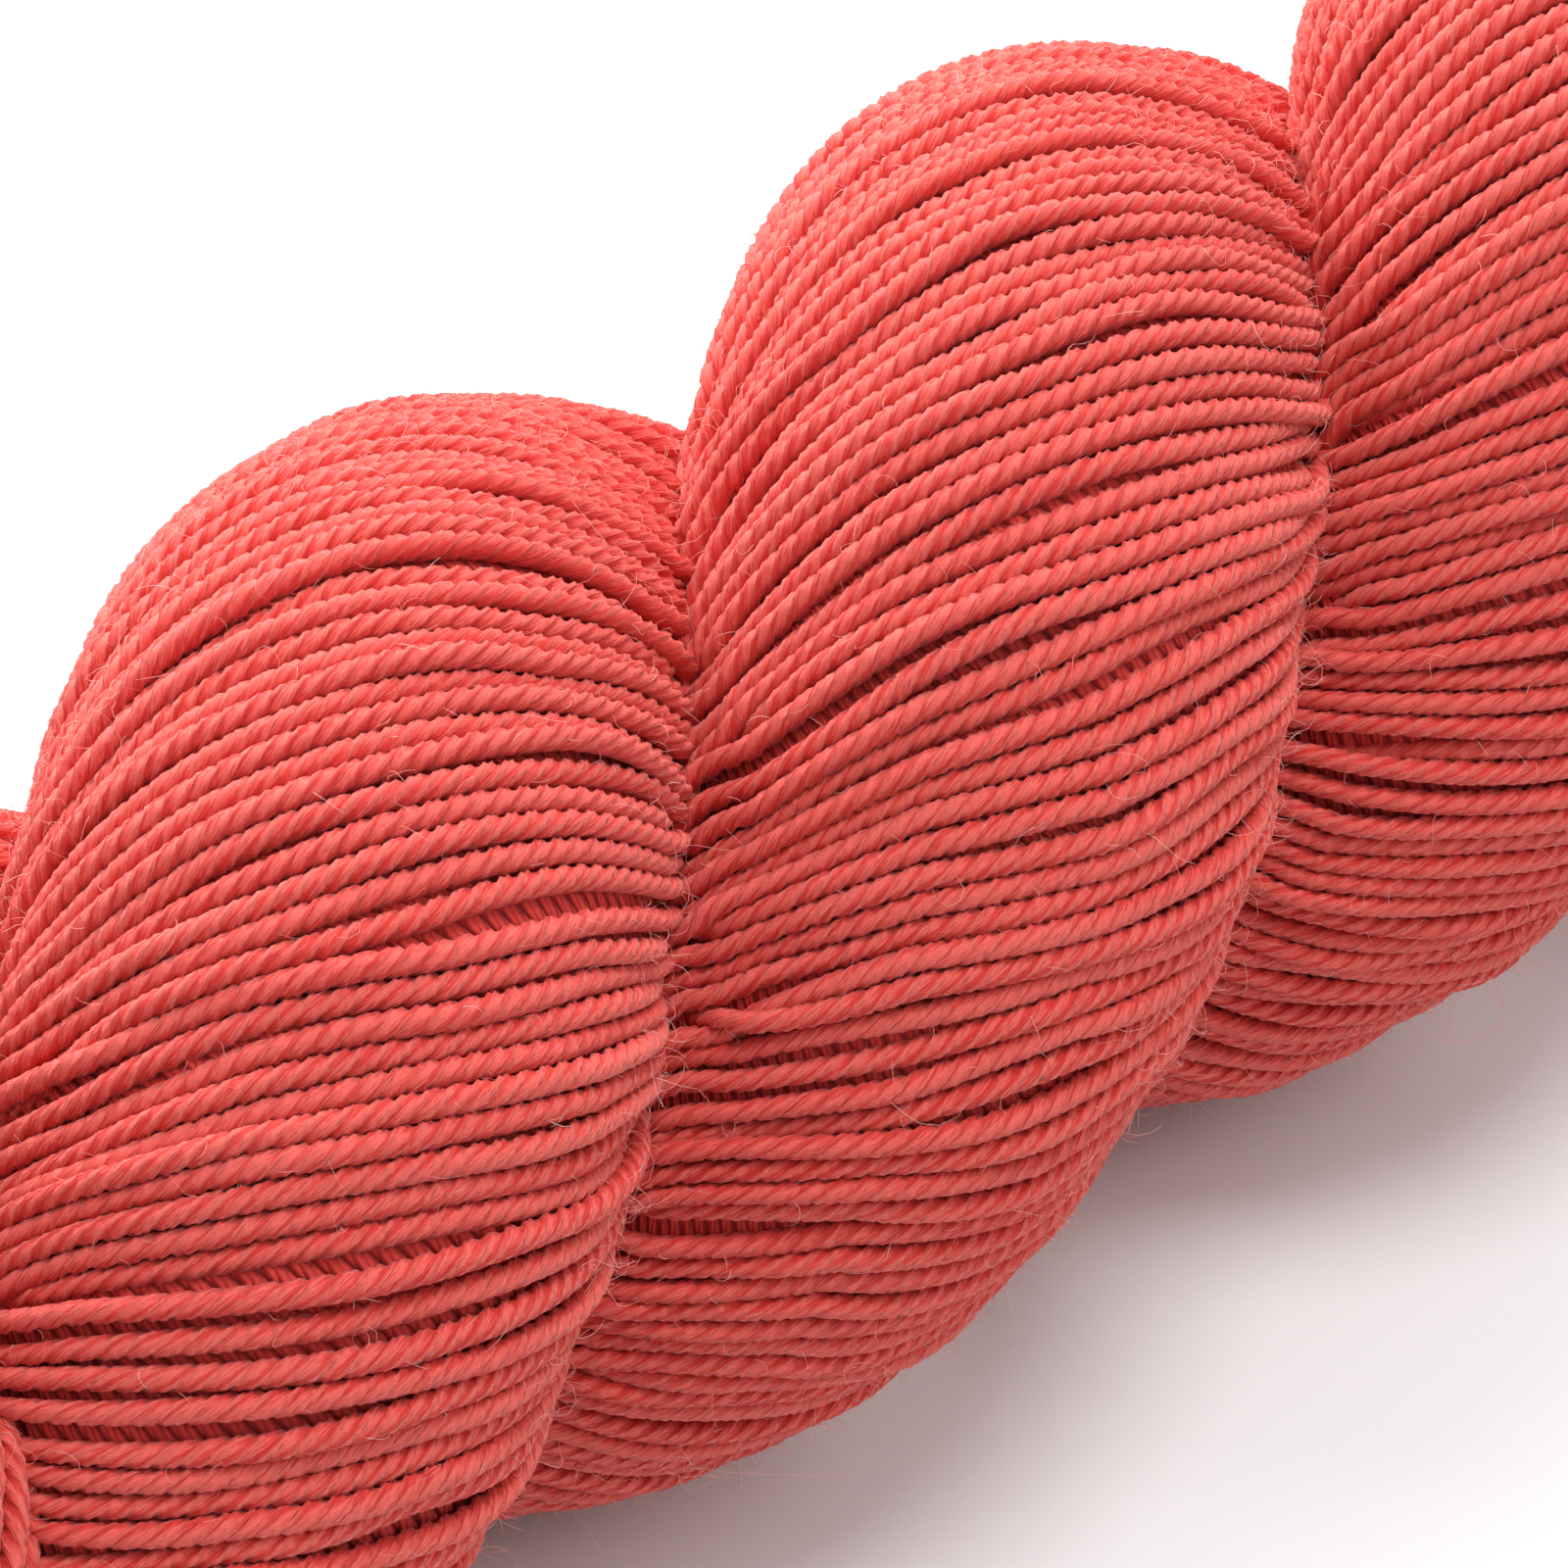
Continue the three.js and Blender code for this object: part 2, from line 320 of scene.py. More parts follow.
def node(tree, kind, place, **values):
    made = tree.nodes.new(kind)
    made.location = place
    for key, value in values.items():
        if key in ("operation", "noise_dimensions", "uv_map"):
            setattr(made, key, value)
        else:
            made.inputs[key].default_value = value
    return made


def maths(tree, operation, place, first, second=None, third=None):
    made = node(tree, "ShaderNodeMath", place, operation=operation)
    for socket, value in zip(made.inputs, (first, second, third)):
        if value is None:
            continue
        if isinstance(value, (int, float)):
            socket.default_value = value
        else:
            tree.links.new(value, socket)
    return made.outputs[0]


def ramp(tree, place, stops):
    made = tree.nodes.new("ShaderNodeValToRGB")
    made.location = place
    elements = made.color_ramp.elements
    while len(elements) < len(stops):
        elements.new(0.5)
    for element, (at, colour) in zip(elements, stops):
        element.position = at
        element.color = (*colour, 1)
    return made


def inner_material():
    """Deep red, with a ridge for every turn and slanting ridges for the yarn's plies, from the UV map. The
    colour darkens between the turns and between the ply ridges, as painted shade.
    """
    material = bpy.data.materials.new("coral_yarn_inside")
    material.use_nodes = True
    tree = material.node_tree
    shader = tree.nodes["Principled BSDF"]
    shader.inputs["Roughness"].default_value = 0.9
    uv = node(tree, "ShaderNodeUVMap", (-1100, 0), uv_map="turns")
    split = node(tree, "ShaderNodeSeparateXYZ", (-900, 0))
    tree.links.new(uv.outputs[0], split.inputs[0])
    turn = maths(tree, "FRACT", (-800, 100), split.outputs["X"])
    off = maths(tree, "MULTIPLY_ADD", (-700, 100), turn, 2.0, -1.0)
    square = maths(tree, "MULTIPLY", (-600, 100), off, off)
    bow = maths(tree, "SQRT", (-400, 100), maths(tree, "SUBTRACT", (-500, 100), 1.02, square))
    across = maths(tree, "MULTIPLY", (-800, -100), split.outputs["Y"], PLY_RIDGES)
    slant = maths(tree, "MULTIPLY_ADD", (-700, -100), turn, -1.1, across)
    wave = maths(tree, "SINE", (-500, -100), maths(tree, "MULTIPLY", (-600, -100), slant, math.pi))
    ridge = maths(tree, "ABSOLUTE", (-400, -100), wave)
    height = maths(tree, "MULTIPLY_ADD", (-300, 0), ridge, 0.25, bow)
    # painted shade: darker where the ridges fall away, between turns and between plies
    colour = ramp(tree, (-200, 150), [(0.3, (0.6, 0.028, 0.023)), (0.96, (0.78, 0.06, 0.05))])
    tree.links.new(maths(tree, "MULTIPLY", (-250, 150), height, 0.8), colour.inputs[0])
    tree.links.new(colour.outputs[0], shader.inputs["Base Color"])
    relief = node(tree, "ShaderNodeBump", (-250, -200), Strength=1.0, Distance=0.0008)
    tree.links.new(height, relief.inputs["Height"])
    tree.links.new(relief.outputs[0], shader.inputs["Normal"])
    return material


def add_piece(name, mesh, material):
    piece = bpy.data.objects.new(name, mesh)
    bpy.context.collection.objects.link(piece)
    mesh.materials.append(material)
    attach(piece, "root")
    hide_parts("hank")


def inner_layer(name, bundle, steps, sides, material):
    """One closed tube along a bundle. Its UV map counts the turns in X, and has metres across them in Y."""
    points, uv = tube_points(bundle, 0, bundle["length"], INNER_DEPTH, steps, sides)
    points[..., 2] = np.maximum(points[..., 2], LOWEST_LAYER)
    rows, theta = turns_of(bundle)
    angle = (uv[..., 1] + math.pi) % (2 * math.pi) - math.pi
    count = np.zeros_like(uv[..., 0])
    for j in range(uv.shape[1]):
        sample = np.interp(angle[0, j], theta[0], np.arange(SAMPLES))
        low = int(min(sample, SAMPLES - 2))
        starts = rows[:, low] + (rows[:, low + 1] - rows[:, low]) * (sample - low)
        count[:, j] = np.interp(uv[:, j, 0], starts, np.arange(len(starts)))
    uv = np.stack([count, angle * MEAN_RADIUS], -1)
    add_piece(name, joined_tubes(name, [(points, uv)]), material)


inside = inner_material()
inner_layer("inner_hank", hank, 330, 24, inside)
inner_layer("inner_tongue", tongue, 40, 20, inside)


# The turns of yarn that show: each runs across a lobe from one valley to the next, nearly in line with the
# rope, and dives under its neighbours at both ends. It is a fingering yarn of four plies, spun soft, so the
# turns press into each other, wander, cross at low angles and leave small dark gaps.
VALLEY_ANGLE = math.radians(132)  # where the two plies meet; only the ends of the rope show more of a turn
SQUEEZE = 0.78  # how narrow a turn can be pressed before it dives
DIVE = 0.0022
SIDE_SWING = 0.0002  # how far a turn wanders by itself, sideways and up or down
HEIGHT_SWING = 0.00011
SHARED_DRIFT = 0.00055  # how far neighbouring turns drift together
LEAN = 0.012  # how far a turn strays from its course, for each metre along it
TURN_HEIGHTS = 0.0002
MOST_CLOSING = 0.0024
TOUCHING = 0.94  # of a yarn's width, between two soft turns that press on each other
SETTLING_ROUNDS = 24
LAY = 0.0054  # length of one turn of the yarn's own plies, left-handed
random = np.random.default_rng(11)


def wander(shape, length, longest, shortest, size):
    """Smooth random swings along each row, of mixed wavelengths."""
    total = np.zeros(shape)
    for part in range(4):
        wave = random.uniform(shortest, longest, (shape[0], 1))
        phase = random.uniform(0, 2 * math.pi, (shape[0], 1))
        total += np.sin(2 * math.pi * length / wave + phase)
    return total * size / 1.4


def drift(shape, rows_apart, samples_apart, size):
    """Smooth random swings that neighbouring rows share, so that they bunch and part."""
    coarse = random.normal(0, size, (shape[0] // rows_apart + 3, shape[1] // samples_apart + 3))
    at_row = np.arange(shape[0]) / rows_apart
    at_sample = np.arange(shape[1]) / samples_apart
    rows = np.stack([np.interp(at_row, np.arange(coarse.shape[0]), column) for column in coarse.T], 1)
    full = np.stack([np.interp(at_sample, np.arange(coarse.shape[1]), row) for row in rows])
    return full


def settle(point, normal, width):
    """Turns that overlap push each other aside, up or down; their place and the layers below pull back."""
    home = point.copy()
    course = unit(np.gradient(home, axis=1))
    partners = []
    for ahead in range(1, 5):
        if ahead >= len(home):
            break
        near, far = home[:-ahead], home[ahead:]
        best = np.zeros(near.shape[:2], int)
        gap = np.full(near.shape[:2], np.inf)
        for shift in range(-6, 7):
            index = np.clip(np.arange(SAMPLES) + shift, 0, SAMPLES - 1)
            apart = np.linalg.norm(far[:, index] - near, axis=-1)
            closer = apart < gap
            gap = np.where(closer, apart, gap)
            best = np.where(closer, index[None], best)
        partners.append((ahead, best))
    for settling in range(SETTLING_ROUNDS):
        push = np.zeros_like(point)
        for ahead, best in partners:
            row = np.arange(len(home) - ahead)[:, None]
            apart = point[row + ahead, best] - point[:-ahead]
            lead = course[:-ahead]
            apart = apart - lead * (apart * lead).sum(-1, keepdims=True)
            distance = np.linalg.norm(apart, axis=-1, keepdims=True)
            overlap = np.maximum(width[:-ahead, :, None] * TOUCHING - distance, 0)
            shove = apart / np.maximum(distance, 1e-9) * overlap * 0.25
            push[:-ahead] -= shove
            np.add.at(push, (np.broadcast_to(row + ahead, best.shape), best), shove)
        point = point + push
        moved = point - home
        smooth = moved.copy()
        smooth[:, 1:-1] = (moved[:, :-2] + moved[:, 2:] + 2 * moved[:, 1:-1]) / 4
        smooth *= 0.94
        height = (smooth * normal).sum(-1, keepdims=True)
        lowest, highest = -0.6 * YARN_WIDTH, 0.42 * YARN_WIDTH
        smooth += normal * (np.clip(height, lowest, highest) - height)
        point = home + smooth
    return point


def local_mean(values, reach):
    """Each row's mean with the rows up to reach away."""
    padded = np.concatenate([values[:1]] * (reach + 1) + [values] + [values[-1:]] * reach)
    total = np.cumsum(padded, axis=0)
    return (total[2 * reach + 1:] - total[:-2 * reach - 1]) / (2 * reach + 1)


def lay_turns(bundle):
    rows, theta = turns_of(bundle)
    ground, normal = surface(bundle, rows, theta)
    course = unit(np.gradient(ground, axis=1))
    side = np.cross(normal, course)
    apart = np.linalg.norm(np.cross(np.diff(ground, axis=0), course[:-1]), axis=-1)
    share = np.concatenate([apart, apart[-1:]]) / (PACKED * YARN_WIDTH)
    rank = (np.arange(len(rows)) * 0.618034 + 0.13) % 1
    sink = DIVE * ease((rank[:, None] - share / SQUEEZE + 0.03) / 0.2)
    width = YARN_WIDTH * np.clip(share * PACKED, SQUEEZE * 0.97, 1)
    steps = np.linalg.norm(np.diff(ground, axis=1), axis=-1)
    length = np.concatenate([np.zeros((len(rows), 1)), np.cumsum(steps, 1)], 1)
    aside = wander(rows.shape, length, 0.07, 0.02, SIDE_SWING) + drift(rows.shape, 4, 10, SHARED_DRIFT)
    aside += random.normal(0, LEAN, (len(rows), 1)) * (length - length.mean(1, keepdims=True))
    height = wander(rows.shape, length, 0.04, 0.012, HEIGHT_SWING)
    height += random.normal(0, TURN_HEIGHTS, (len(rows), 1))
    # where a turn dives, its neighbours close up over it
    room = 1 - 0.93 * ease(sink / 0.0013)
    closing = np.cumsum(room / local_mean(room, 5) - 1, axis=0)
    closing = (closing - local_mean(closing, 7)) * np.concatenate([apart, apart[-1:]])
    onward = np.sign((np.gradient(ground, axis=0) * side).sum(-1))
    aside += np.clip(closing, -MOST_CLOSING, MOST_CLOSING) * onward
    point = ground + side * aside[..., None] + normal * (height - YARN_WIDTH / 2 - sink)[..., None]
    point = settle(point, normal, width)
    point[..., 2] = np.maximum(point[..., 2], YARN_WIDTH * 0.48)
    return {"point": point, "normal": normal, "width": width, "sink": sink, "place": rows, "theta": theta}


# The parts of the hank that can hide each other's turns.
fold_tip = hank["place"][hank["ends"][1]]
tail = hank["collar"] + 0.012
parts = [
    (hank, 0.0, fold_tip),
    (hank, fold_tip, tail),
    (hank, tail, hank["length"]),
    (tongue, 0.0, tongue["length"]),
]
HIDDEN_DEPTH = 0.0021
CUT_SINK = 0.0014
END_SINK = 0.0006


def buried(points, bundle, low, high):
    """Which points lie well inside a part of a bundle."""
    within = (bundle["place"] >= low) & (bundle["place"] <= high)
    table = bundle["table"][within][::2]
    centre = table[:, :3]
    flat = points.reshape(-1, 3)
    nearest = np.argmin((centre**2).sum(-1) - 2 * flat @ centre.T, axis=1)
    read = table[nearest]
    offset = flat - read[:, :3]
    out, across = unit(read[:, 3:6]), unit(read[:, 6:9])
    rise, aside = (offset * out).sum(-1), (offset * across).sum(-1)
    past_end = (offset**2).sum(-1) - rise**2 - aside**2 > 0.0016**2
    lift, wide = np.where(rise > 0, read[:, 9], read[:, 10]), read[:, 11]
    depth = (1 - np.hypot(rise / lift, aside / wide)) * np.minimum(lift, wide)
    return ((depth > HIDDEN_DEPTH) & ~past_end).reshape(points.shape[:-1])


def visible_runs(bundle, laid):
    """The stretches of each turn that aren't buried in another part of the hank."""
    place = laid["place"]
    hidden = (laid["sink"] > CUT_SINK) | (place < 0.0005) | (place > bundle["length"] - 0.0005)
    in_rope = np.zeros(hidden.shape, bool)
    for low, high in bundle["rope"]:
        in_rope |= (place > low) & (place < high)
    hidden |= in_rope & (np.abs(laid["theta"]) > VALLEY_ANGLE)
    for other, low, high in parts:
        own = (place >= low) & (place <= high) if other is bundle else np.zeros(hidden.shape, bool)
        hidden |= buried(laid["point"], other, low, high) & ~own
    found = []
    for k in range(len(hidden)):
        shown = np.flatnonzero(~hidden[k])
        if not len(shown):
            continue
        for stretch in np.split(shown, np.flatnonzero(np.diff(shown) > 1) + 1):
            low, high = max(stretch[0] - 1, 0), min(stretch[-1] + 2, SAMPLES)
            if high - low > 4:
                point, normal = laid["point"][k, low:high].copy(), laid["normal"][k, low:high]
                point[[0, -1]] -= normal[[0, -1]] * END_SINK
                found.append((point, normal, laid["width"][k, low:high]))
    return found


def photographed(points, normals):
    """Where the photo's camera is near and square enough to a turn to need the yarn's own plies modelled."""
    back = unit(camera_place - points)
    facing = (back * normals).sum(-1)
    local = (points - camera_place) @ np.array(camera_turn)
    frame_half = CAMERA_SENSOR_MM / 2 / CAMERA_LENS_MM * 1.03
    inside = np.abs(local[:, :2]).max(1) < -local[:, 2] * frame_half
    seen = (facing > -0.3) & inside
    for _ in range(2):
        seen[1:-1] |= seen[:-2] | seen[2:]
    return seen


def near_and_far(run):
    """A run's stretches, each with whether it is photographed and each reaching a little into the next."""
    seen = photographed(*run[:2])
    for closed in (True, False):
        edges = np.flatnonzero(np.diff(seen)) + 1
        for stretch in np.split(np.arange(len(seen)), edges):
            if seen[stretch[0]] != closed and len(stretch) < 6 and len(stretch) < len(seen):
                seen[stretch] = closed
    for stretch in np.split(np.arange(len(seen)), np.flatnonzero(np.diff(seen)) + 1):
        low, high = max(stretch[0] - 1, 0), min(stretch[-1] + 2, len(seen))
        if high - low > 3:
            yield seen[stretch[0]], tuple(part[low:high] for part in run)


runs = []
for bundle in (hank, tongue):
    runs += visible_runs(bundle, lay_turns(bundle))
runs = [part for run in runs for part in near_and_far(run)]
near_runs = [run for near, run in runs if near]
far_runs = [run for near, run in runs if not near]


def spline(values, at):
    """Smooth values between the rows of a table, at fractional rows."""
    i = np.clip(at.astype(int), 0, len(values) - 2)
    f = (at - i)[:, None]
    a, b = values[np.maximum(i - 1, 0)], values[i]
    c, d = values[i + 1], values[np.minimum(i + 2, len(values) - 1)]
    return b + f / 2 * (c - a + f * (2 * a - 5 * b + 4 * c - d + f * (3 * (b - c) + d - a)))


def yarn_rings(points, normals, widths, step, sides, lobed, offset):
    """Rings of points round one stretch of yarn, turning with its plies, and their places for the UV map."""
    lengths = np.concatenate([[0], np.cumsum(np.linalg.norm(np.diff(points, axis=0), axis=-1))])
    count = max(4, int(round(lengths[-1] / step)) + 1)
    along = np.linspace(0, lengths[-1], count)
    at = np.interp(along, lengths, np.arange(len(points)))
    middle, up = spline(points, at), spline(normals, at)
    wide = np.interp(at, np.arange(len(points)), widths) / YARN_WIDTH
    lead = unit(np.gradient(middle, axis=0))
    up = unit(up - lead * (up * lead).sum(-1, keepdims=True))
    side = np.cross(lead, up)
    around = np.arange(sides + 1) / sides
    turn = around[None] + (along / LAY)[:, None] * lobed
    angle = 2 * math.pi * turn
    half = np.full(sides + 1, 0.5 * YARN_WIDTH)
    # the outline of four round plies lying together, or plain round yarn
    if lobed:
        within = np.abs((around * 4) % 1 - 0.5) * math.pi / 2
        half *= 0.5 * np.cos(within) + np.sqrt(0.5**2 - (0.49 * np.sin(within)) ** 2)
    else:
        half *= 0.94
    half = np.tile(half, (count, 1))
    half[[0, -1]] *= 0.9
    ring = middle[:, None] + side[:, None] * (half * np.cos(angle) * wide[:, None] * 1.02)[..., None]
    ring = ring + up[:, None] * (half * np.sin(angle))[..., None]
    uv = np.stack([np.broadcast_to((along + offset)[:, None], turn.shape), turn], -1)
    return ring[:, :-1], uv


def plied_yarn_group():
    """The look along a plied yarn, from its UV map: metres along in X and turns round it in Y. Its last
    output is painted light and shade, lighter on the yarn's top side and darker underneath.
    """
    tree = bpy.data.node_groups.new("plied_yarn", "ShaderNodeTree")
    tree.interface.new_socket("Yarn", in_out="INPUT", socket_type="NodeSocketVector")
    tree.interface.new_socket("Lay", in_out="INPUT", socket_type="NodeSocketFloat")
    for name in ("Crest", "Fibre", "Dye", "PaintedTopLight"):
        tree.interface.new_socket(name, in_out="OUTPUT", socket_type="NodeSocketFloat")
    source = node(tree, "NodeGroupInput", (-1200, 0))
    sink = node(tree, "NodeGroupOutput", (800, 0))
    split = node(tree, "ShaderNodeSeparateXYZ", (-1000, 0))
    tree.links.new(source.outputs["Yarn"], split.inputs[0])
    along, around = split.outputs["X"], split.outputs["Y"]
    twist = maths(tree, "DIVIDE", (-800, 200), along, source.outputs["Lay"])
    phase = maths(tree, "MULTIPLY", (-600, 200), maths(tree, "SUBTRACT", (-700, 200), around, twist), 4.0)
    within = maths(tree, "FRACT", (-500, 200), phase)
    off = maths(tree, "MULTIPLY_ADD", (-400, 200), within, 2.0, -1.0)
    square = maths(tree, "MULTIPLY", (-300, 200), off, off)
    crest = maths(tree, "SUBTRACT", (-200, 200), 1.0, square)
    angle = maths(tree, "MULTIPLY", (-800, -200), around, 2 * math.pi)
    untwisted = maths(tree, "SUBTRACT", (-900, -100), around, twist)
    with_ply = maths(tree, "MULTIPLY", (-800, -100), untwisted, 2 * math.pi)
    place = node(tree, "ShaderNodeCombineXYZ", (-400, -200))
    radius = YARN_WIDTH / 2
    cos = maths(tree, "MULTIPLY", (-600, -150), maths(tree, "COSINE", (-700, -150), with_ply), radius)
    sin = maths(tree, "MULTIPLY", (-600, -250), maths(tree, "SINE", (-700, -250), with_ply), radius)
    tree.links.new(cos, place.inputs[0])
    tree.links.new(sin, place.inputs[1])
    tree.links.new(maths(tree, "MULTIPLY", (-600, -350), along, 0.16), place.inputs[2])
    fibre = node(tree, "ShaderNodeTexNoise", (-200, -200), Scale=6500.0, Detail=2.0, Roughness=0.6)
    tree.links.new(place.outputs[0], fibre.inputs["Vector"])
    dye = node(tree, "ShaderNodeTexNoise", (-200, -500), noise_dimensions="1D", Scale=45.0, Detail=1.0)
    tree.links.new(along, dye.inputs["W"])
    # painted light and shade: lighter on the top of the yarn and darker on its underside, from the angle
    # round it
    painted_top_light = maths(tree, "MULTIPLY_ADD", (-500, -350), maths(tree, "SINE", (-600, -450), angle), 0.5, 0.5)
    painted_top_light = maths(tree, "POWER", (-400, -350), painted_top_light, 1.7)
    tree.links.new(painted_top_light, sink.inputs["PaintedTopLight"])
    tree.links.new(crest, sink.inputs["Crest"])
    tree.links.new(fibre.outputs[0], sink.inputs["Fibre"])
    tree.links.new(dye.outputs[0], sink.inputs["Dye"])
    return tree


plied_yarn = plied_yarn_group()


def yarn_material(name, ridge_height, deep, body, top):
    material = bpy.data.materials.new(name)
    material.use_nodes = True
    tree = material.node_tree
    shader = tree.nodes["Principled BSDF"]
    shader.inputs["Roughness"].default_value = 0.86
    shader.inputs["Specular IOR Level"].default_value = 0.25
    shader.inputs["Sheen Weight"].default_value = 0.3
    shader.inputs["Sheen Roughness"].default_value = 0.45
    shader.inputs["Sheen Tint"].default_value = (1.0, 0.6, 0.54, 1)
    uv = node(tree, "ShaderNodeUVMap", (-900, 0), uv_map="turns")
    look = tree.nodes.new("ShaderNodeGroup")
    look.node_tree = plied_yarn
    look.location = (-700, 0)
    look.inputs["Lay"].default_value = LAY
    tree.links.new(uv.outputs[0], look.inputs["Yarn"])
    grain = maths(tree, "MULTIPLY_ADD", (-500, 100), look.outputs["Fibre"], 2.2, -1.1)
    dyed = maths(tree, "MULTIPLY_ADD", (-450, 100), look.outputs["Dye"], 0.5, grain)
    # painted shade and light: the colour darkens in the grooves between the plies and on the yarn's
    # underside, and lightens on the ply crests and the yarn's top
    ridged = maths(tree, "MULTIPLY_ADD", (-400, 100), look.outputs["Crest"], 0.75, dyed)
    lit = maths(tree, "MULTIPLY_ADD", (-350, 100), look.outputs["PaintedTopLight"], 0.7, ridged)
    colour = ramp(tree, (-250, 150), [(0.2, deep), (0.62, body), (1.0, top)])
    tree.links.new(maths(tree, "SUBTRACT", (-300, 100), lit, 0.52), colour.inputs[0])
    tree.links.new(colour.outputs[0], shader.inputs["Base Color"])
    relief = node(tree, "ShaderNodeBump", (-250, -200), Strength=1.0, Distance=1.0)
    fibres = maths(tree, "MULTIPLY", (-450, -200), look.outputs["Fibre"], 0.00015)
    height = maths(tree, "MULTIPLY_ADD", (-350, -200), look.outputs["Crest"], ridge_height, fibres)
    tree.links.new(height, relief.inputs["Height"])
    tree.links.new(relief.outputs[0], shader.inputs["Normal"])
    return material


MOST_TRIANGLES = 190000
# in the grooves between the yarn's plies and on its underside (painted shade), on the plies, and on their
# crests and the yarn's top (painted light); the fibres and dye also move the colour between them
YARN_SHADED_COLOURS = ((0.64, 0.034, 0.028), (0.72, 0.06, 0.05), (0.83, 0.137, 0.114))


def yarn_pieces(name, chosen, step, sides, lobed, material):
    tubes, triangles, made = [], 0, []
    for index, run in enumerate(chosen):
        ring, uv = yarn_rings(*run, step, sides, lobed, index * 0.137)
        own = 2 * sides * len(ring)
        if triangles + own > MOST_TRIANGLES:
            made.append(tubes)
            tubes, triangles = [], 0
        tubes.append((ring, uv))
        triangles += own
    made.append(tubes)
    for number, tubes in enumerate(made):
        numbered = f"{name}_{number + 1}"
        add_piece(numbered, joined_tubes(numbered, tubes), material)


near_yarn = yarn_material("coral_yarn", 0.00002, *YARN_SHADED_COLOURS)
far_yarn = yarn_material("coral_yarn_far", 0.00016, *YARN_SHADED_COLOURS)
yarn_pieces("front_turns", near_runs, 0.0006, 12, 1, near_yarn)
yarn_pieces("far_turns", far_runs, 0.0016, 6, 0, far_yarn)


# The halo: fine alpaca fibres that stand out of the spun yarn, short and curly, with a few long strays. They
# are thinner than a tenth of a millimetre, and paler than the yarn, because light shines through them. They
# are densest where the photo's camera sees the yarn edge on.
FIBRE_RADIUS = 0.000019
TRIANGLE = np.array((0, 2, 4))[:, None] * math.pi / 3  # the angles of a fibre's three sides


def halo_fibres(name, chosen, count, segments, lengths, spread, bends, outward_share, edge, material):
    """Tapered hairs rooted on the yarn, more of them where the photo's camera sees the yarn edge on."""
    weights = []
    for points, normals, _ in chosen:
        facing = (unit(camera_place - points) * normals).sum(-1)
        weights.append(1 + edge * ease((0.5 - np.abs(facing)) / 0.3))
    owner = np.repeat(np.arange(len(chosen)), [len(w) for w in weights])
    weights = np.concatenate(weights)
    picked = random.choice(len(owner), count, p=weights / weights.sum())
    points, normals = (np.concatenate([run[part] for run in chosen]) for part in (0, 1))
    onward = np.concatenate([np.gradient(run[0], axis=0) for run in chosen])[picked]
    root = points[picked] + onward * random.uniform(-0.5, 0.5, (count, 1))
    normal, lead = normals[picked], unit(onward)
    side = unit(np.cross(lead, normal))
    lean = random.uniform(-1.4, 1.4, (count, 1))
    outward = normal * np.cos(lean) + side * np.sin(lean)
    at = root + outward * YARN_WIDTH * 0.42
    way = np.sign(random.normal(size=(count, 1)))
    heading = unit(outward * outward_share + lead * way * 0.5 + random.normal(0, 0.4, (count, 3)))
    length = np.clip(random.lognormal(math.log(lengths[0]), spread, count), 0.0006, lengths[1])[:, None]
    axis = unit(random.normal(size=(count, 3)))
    bend = random.uniform(*bends, (count, 1))
    across = unit(np.cross(heading, axis))
    rings = []
    for segment in range(segments + 1):
        radius = FIBRE_RADIUS * (1 - 0.6 * segment / segments)
        second = np.cross(heading, across)
        spokes = across[:, None] * np.cos(TRIANGLE) + second[:, None] * np.sin(TRIANGLE)
        rings.append(at[:, None] + radius * spokes)
        step = length / segments
        axis = unit(axis + random.normal(0, 0.3, (count, 3)))
        heading = unit(heading + np.cross(axis, heading) * np.minimum(bend * step, 1.1))
        across = unit(across - heading * (across * heading).sum(-1, keepdims=True))
        at = at + heading * step
        at[:, 2] = np.maximum(at[:, 2], 0.0001)
    rings = np.stack(rings, 1)
    rings[..., 2] = np.maximum(rings[..., 2], 0.00005)
    uv = np.stack(np.meshgrid(np.arange(segments + 1) * 0.0004, np.arange(4) / 3, indexing="ij"), -1)
    shift = random.uniform(0, 1, count)
    add_piece(name, joined_tubes(name, [(ring, uv + (at, 0)) for ring, at in zip(rings, shift)]), material)


def fibre_material():
    material = bpy.data.materials.new("coral_fibre")
    material.use_nodes = True
    tree = material.node_tree
    shader = tree.nodes["Principled BSDF"]
    shader.inputs["Roughness"].default_value = 0.6
    uv = node(tree, "ShaderNodeUVMap", (-900, 0), uv_map="turns")
    look = tree.nodes.new("ShaderNodeGroup")
    look.node_tree = plied_yarn
    look.location = (-700, 0)
    look.inputs["Lay"].default_value = LAY
    tree.links.new(uv.outputs[0], look.inputs["Yarn"])
    colour = ramp(tree, (-300, 0), [(0.3, (0.8, 0.24, 0.2)), (0.7, (0.95, 0.55, 0.5))])
    tree.links.new(look.outputs["Dye"], colour.inputs[0])
    tree.links.new(colour.outputs[0], shader.inputs["Base Color"])
    return material


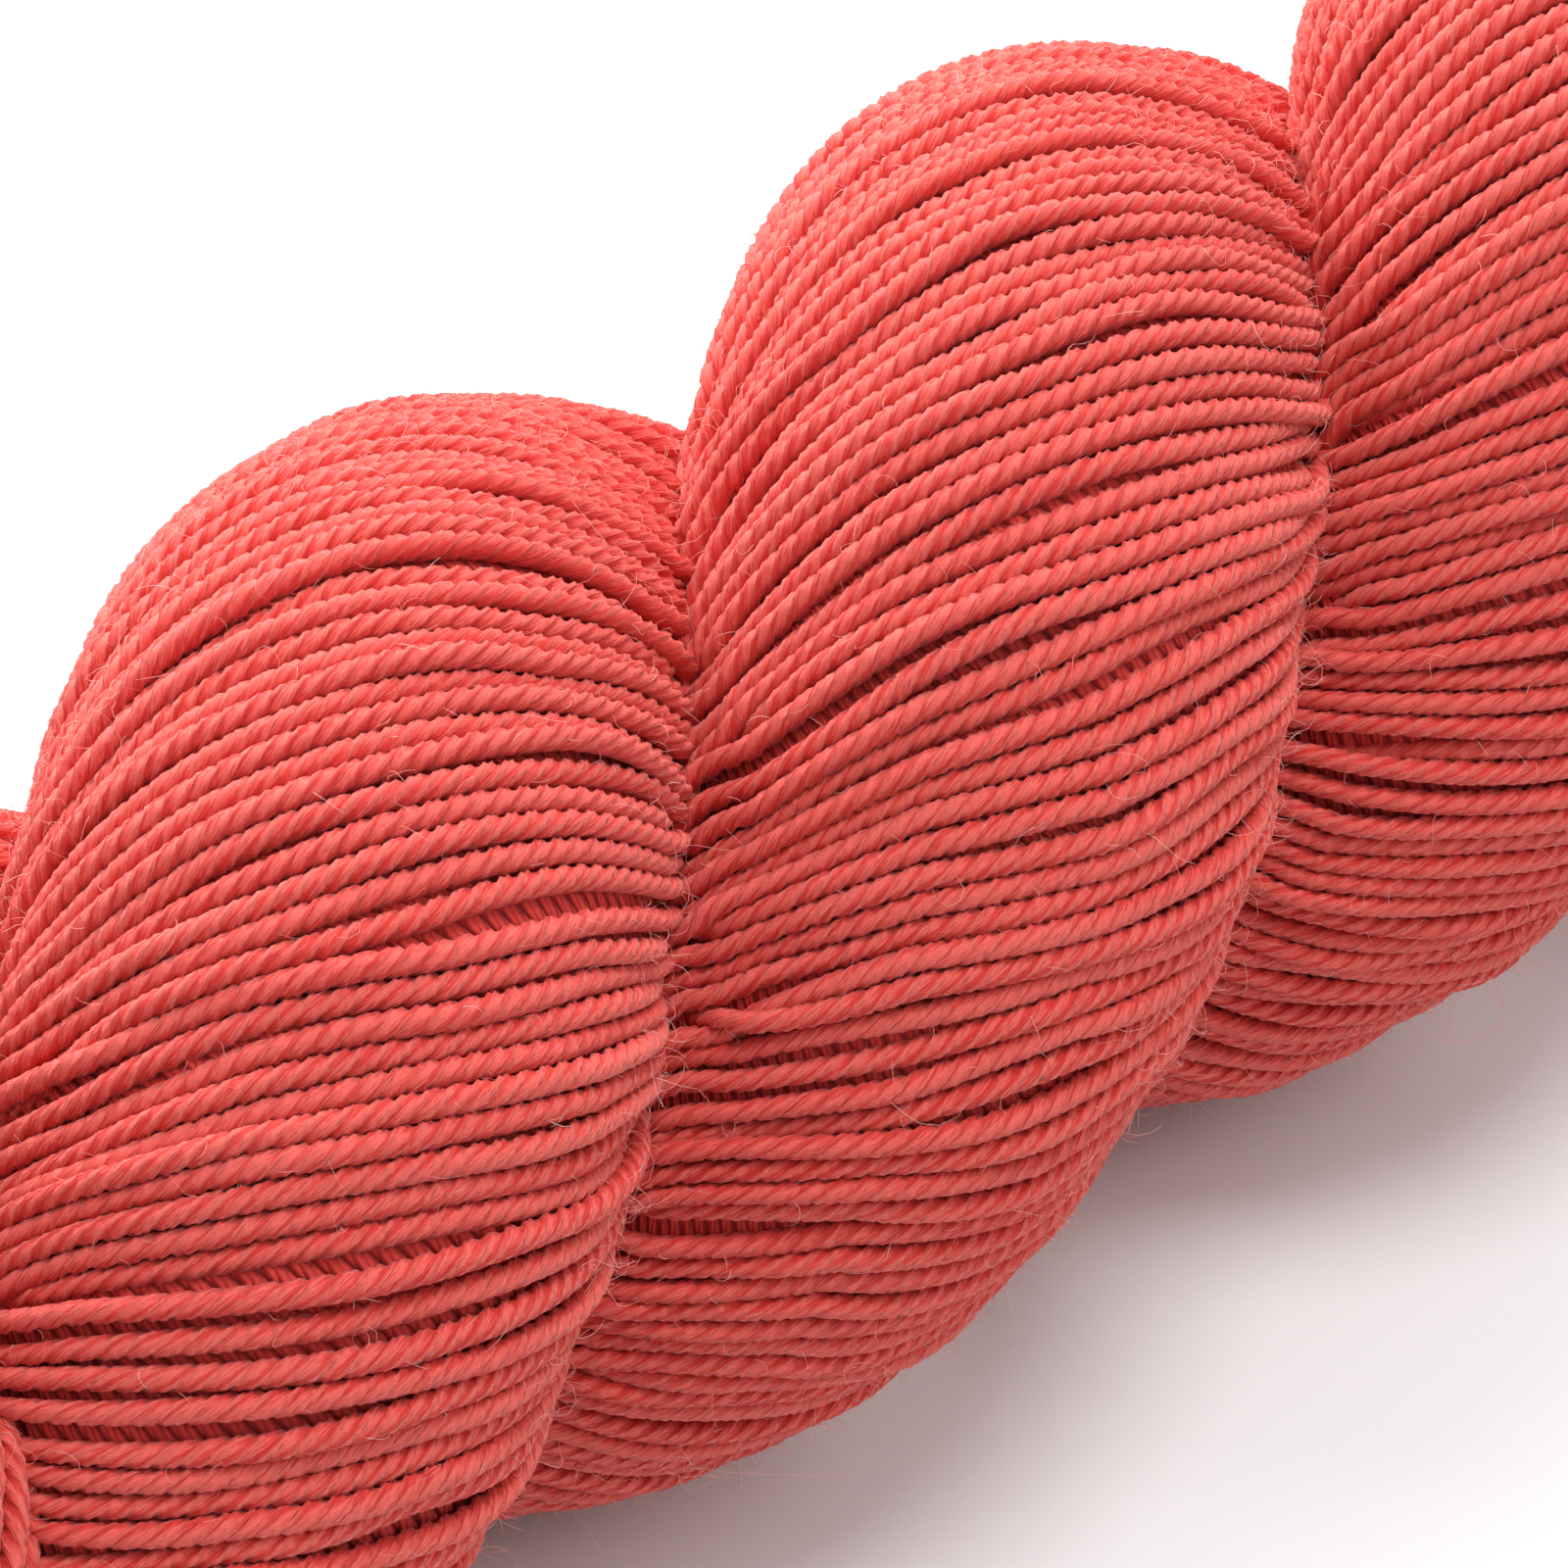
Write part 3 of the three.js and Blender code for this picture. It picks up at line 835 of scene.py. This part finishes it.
fibre = fibre_material()
halo_fibres("front_halo", near_runs, 5500, 5, (0.0018, 0.005), 0.5, (500, 2800), 0.55, 5, fibre)
halo_fibres("edge_halo", near_runs, 1000, 5, (0.0016, 0.004), 0.5, (500, 2800), 0.55, 60, fibre)
halo_fibres("far_halo", far_runs, 2000, 4, (0.0018, 0.005), 0.5, (300, 2000), 0.55, 5, fibre)
halo_fibres("stray_fibres", near_runs + far_runs, 70, 26, (0.009, 0.015), 0.35, (60, 420), 0.3, 5, fibre)


# The floor: a plain pale surface on which the skein's lowest turns lie. It isn't part of the object, and it
# is so large that its far edge stays out of the photo's view.
FLOOR_SIZE = 9.0
corner = FLOOR_SIZE / 2
floor_mesh = bpy.data.meshes.new("floor")
corners = [(-corner, -corner, 0), (corner, -corner, 0), (corner, corner, 0), (-corner, corner, 0)]
floor_mesh.from_pydata(corners, [], [(0, 1, 2, 3)])
floor = bpy.data.objects.new("floor", floor_mesh)
bpy.context.collection.objects.link(floor)
paper = bpy.data.materials.new("pale_floor")
paper.use_nodes = True
paper.node_tree.nodes["Principled BSDF"].inputs["Base Color"].default_value = (0.82, 0.865, 0.875, 1)
paper.node_tree.nodes["Principled BSDF"].inputs["Roughness"].default_value = 0.7
floor_mesh.materials.append(paper)


# The light: a soft window behind the skein, four soft lamps round it, and a pale room, all plain white. The
# window lights the tops of the lobes, and leaves the sides towards the camera in soft shadow.
LIT_POINT = Vector((0, 0, 0.02))


def soft_lamp(name, place, size, power):
    data = bpy.data.lights.new(name, "AREA")
    data.shape = "DISK"
    data.size = size
    data.energy = power
    lamp = bpy.data.objects.new(name, data)
    bpy.context.collection.objects.link(lamp)
    lamp.location = place
    lamp.rotation_euler = (Vector(place) - LIT_POINT).to_track_quat("Z", "Y").to_euler()


soft_lamp("window", (0.0, 1.15, 0.45), 0.8, 22)
soft_lamp("right_back", (0.7, 0.6, 0.8), 0.8, 9.6)
soft_lamp("right_front", (0.6, -0.7, 0.8), 0.8, 3.1)
soft_lamp("above", (0.25, -0.1, 1.3), 0.6, 8.8)
soft_lamp("left", (-1.0, -0.1, 0.6), 0.8, 1.5)
room = bpy.data.worlds.new("pale_room")
bpy.context.scene.world = room
room.use_nodes = True
room.node_tree.nodes["Background"].inputs["Color"].default_value = (1, 1, 1, 1)
room.node_tree.nodes["Background"].inputs["Strength"].default_value = 0.48
bpy.context.scene.view_settings.view_transform = "Standard"
